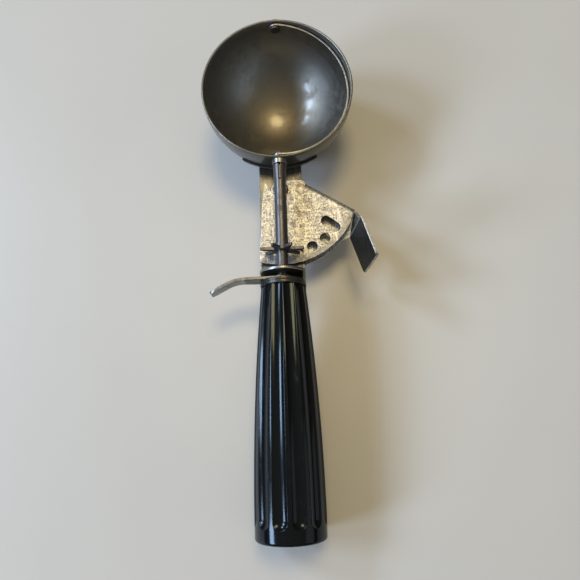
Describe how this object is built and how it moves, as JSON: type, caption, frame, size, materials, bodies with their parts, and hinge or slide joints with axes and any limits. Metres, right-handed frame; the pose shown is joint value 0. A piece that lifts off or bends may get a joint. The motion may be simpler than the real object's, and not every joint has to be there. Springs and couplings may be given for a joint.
{
  "type": "lever ice cream scoop",
  "caption": "Round-bowl ice cream scoop with a fluted handle and a thumb lever that turns a scraper blade inside the bowl through a toothed wheel.",
  "frame": {"origin": "centre of the handle's flat butt end", "axes": "+Y along the scraper shaft from the butt to the bowl, +X towards the thumb lever, +Z out of the bowl's mouth"},
  "size_m": [0.0705, 0.2182, 0.0464],
  "materials": {
    "handle_plastic": "polished black moulding",
    "frame_steel": "satin, lightly worn",
    "lever_steel": "satin, mottled and scratched",
    "bowl_steel": "satin, spun",
    "blade_steel": "bright, spring hard",
    "shaft_steel": "polished, darkened",
    "fastener_steel": "satin",
    "spring_steel": "dark wire with light rust"
  },
  "bodies": {
    "grip": {"handle": "handle_plastic", "tang_bolt": "fastener_steel", "frame": "frame_steel", "finger_rest": "frame_steel", "bearing_bracket": "frame_steel", "lever_pivot_rivet": "fastener_steel", "pivot_bush": "fastener_steel", "pivot_washer": "fastener_steel", "return_spring": "spring_steel", "bowl": "bowl_steel", "bowl_shaft_eyelet": "fastener_steel", "bowl_tip_eyelet": "fastener_steel"},
    "lever": {"thumb_lever": "lever_steel"},
    "scraper": {"scraper_blade": "blade_steel", "scraper_spindle": "shaft_steel", "scraper_tip_pin": "fastener_steel", "scraper_shaft": "shaft_steel", "star_wheel": "shaft_steel", "star_collar": "shaft_steel"}
  },
  "joints": [
    {"name": "thumb_press", "type": "hinge", "parent": "grip", "child": "lever", "pos_m": [0, 0.1408, 0], "axis": [0, 0, -1], "range_deg": [0, 32], "stiffness_Nm_per_rad": 0.25, "springref_deg": -34.38, "deforming": ["return_spring"]},
    {"name": "scraper_turn", "type": "hinge", "parent": "grip", "child": "scraper", "pos_m": [0, 0.184, 0], "axis": [0, 1, 0], "range_deg": [0, 126.59]}
  ],
  "couplings": [
    {"joint": "scraper_turn", "follows": "thumb_press", "ratio": 3.956}
  ]
}
